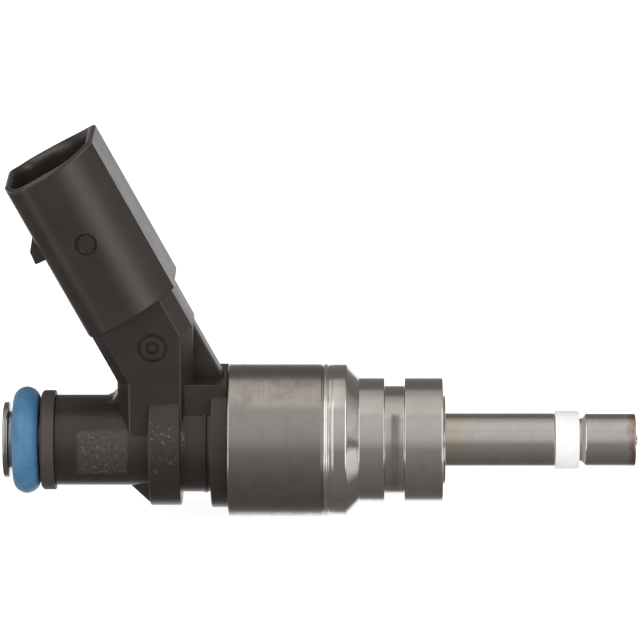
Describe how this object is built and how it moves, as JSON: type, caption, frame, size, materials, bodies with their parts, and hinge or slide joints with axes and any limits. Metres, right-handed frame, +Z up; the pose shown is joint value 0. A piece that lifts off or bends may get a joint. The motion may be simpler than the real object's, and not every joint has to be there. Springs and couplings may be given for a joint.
{
  "type": "fuel injector",
  "caption": "Solenoid fuel injector for direct petrol injection: moulded connector leaning back from the axis, steel solenoid case, slim nozzle with a white tip seal.",
  "frame": {"origin": "on the injector axis, in the plane of the flange shoulder that seats in the cylinder head", "axes": "+X along the injector axis towards the spray tip, +Z up, with the connector leaning up and back in the XZ plane"},
  "size_m": [0.0903, 0.0216, 0.0562],
  "materials": {
    "black_plastic": "moulded, fine satin texture",
    "support_plastic": "turned, matt dark brown",
    "natural_plastic": "moulded nylon",
    "case_steel": "deep-drawn, satin",
    "turned_steel": "turned, satin",
    "ground_steel": "ground, smooth",
    "magnet_steel": "turned soft iron, dull",
    "tinned_brass": "stamped and tin plated",
    "copper_wire": "enamelled wire",
    "blue_rubber": "smooth moulded fluoro rubber",
    "white_ptfe": "turned PTFE"
  },
  "bodies": {
    "body": {"connector_housing": "black_plastic", "terminal_1": "tinned_brass", "terminal_2": "tinned_brass", "inlet_tube": "turned_steel", "inlet_o_ring": "blue_rubber", "backup_ring": "support_plastic", "filter_frame": "natural_plastic", "filter_screen": "ground_steel", "magnet_shell": "case_steel", "pole_core": "magnet_steel", "spacer_ring": "ground_steel", "upper_washer": "magnet_steel", "coil_bobbin": "natural_plastic", "coil_winding": "copper_wire", "valve_body": "turned_steel", "nozzle_tube": "turned_steel", "combustion_seal": "white_ptfe", "seat_body": "ground_steel", "needle_guide": "ground_steel", "return_spring": "ground_steel", "adjusting_sleeve": "ground_steel"},
    "valve_needle": {"needle": "ground_steel", "valve_ball": "ground_steel", "upper_stop_ring": "ground_steel", "lower_stop_sleeve": "ground_steel", "armature_spring": "ground_steel"},
    "armature": {"armature": "magnet_steel"}
  },
  "joints": [
    {"name": "needle_lift", "type": "slide", "parent": "body", "child": "valve_needle", "axis": [-1, 0, 0], "range_m": [0, 0.00008], "stiffness_N_per_m": 200, "deforming": ["return_spring"]},
    {"name": "armature_travel", "type": "slide", "parent": "valve_needle", "child": "armature", "axis": [-1, 0, 0], "range_m": [0, 0.00005], "stiffness_N_per_m": 100, "deforming": ["armature_spring"]}
  ]
}
